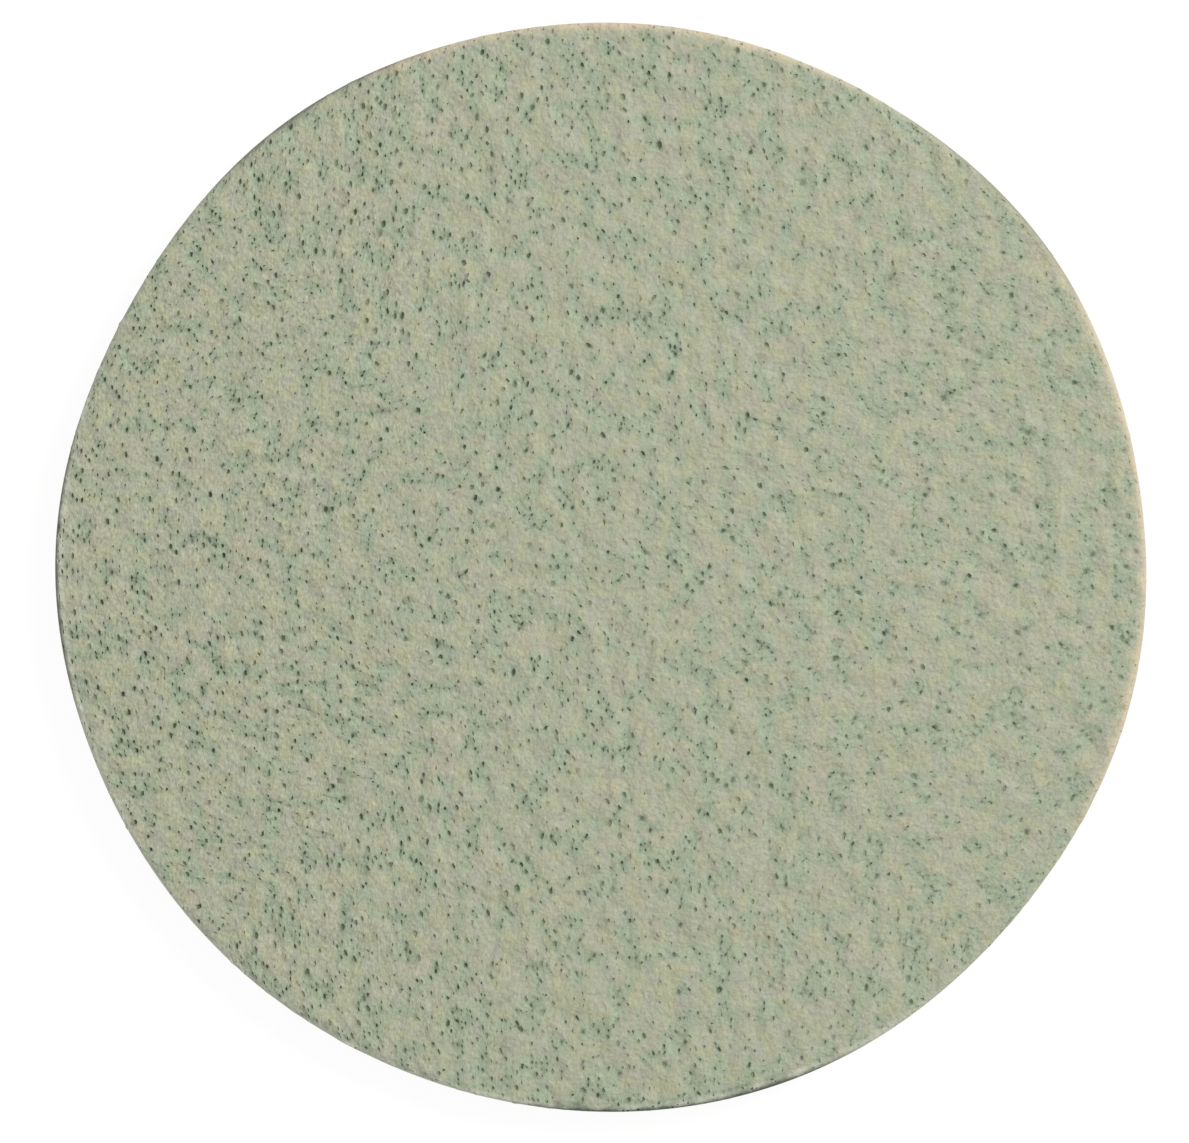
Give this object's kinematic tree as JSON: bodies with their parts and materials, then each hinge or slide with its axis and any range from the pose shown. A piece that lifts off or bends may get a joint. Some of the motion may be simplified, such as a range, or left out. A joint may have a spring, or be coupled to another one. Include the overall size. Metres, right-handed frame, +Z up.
{
  "type": "blending disc",
  "caption": "Round flexible blending disc: a pitted sage-green abrasive face rolled over a soft foam core, on a looped fabric backing for a hook-faced sander pad.",
  "frame": {"origin": "centre of the looped side, on the surface that the disc lies on", "axes": "+Z up through the disc's thickness, out of the abrasive face; X and Y lie in the disc's plane, and +Y is the top of the picture"},
  "size_m": [0.15, 0.15, 0.006],
  "materials": {
    "sage_resin": "matt, finely pitted mineral and resin coat",
    "tan_foam": "matt open-celled foam",
    "pale_fabric": "matt looped knit"
  },
  "bodies": {
    "root": {"abrasive_face": "sage_resin", "foam_core": "tan_foam", "loop_backing": "pale_fabric"}
  },
  "joints": []
}
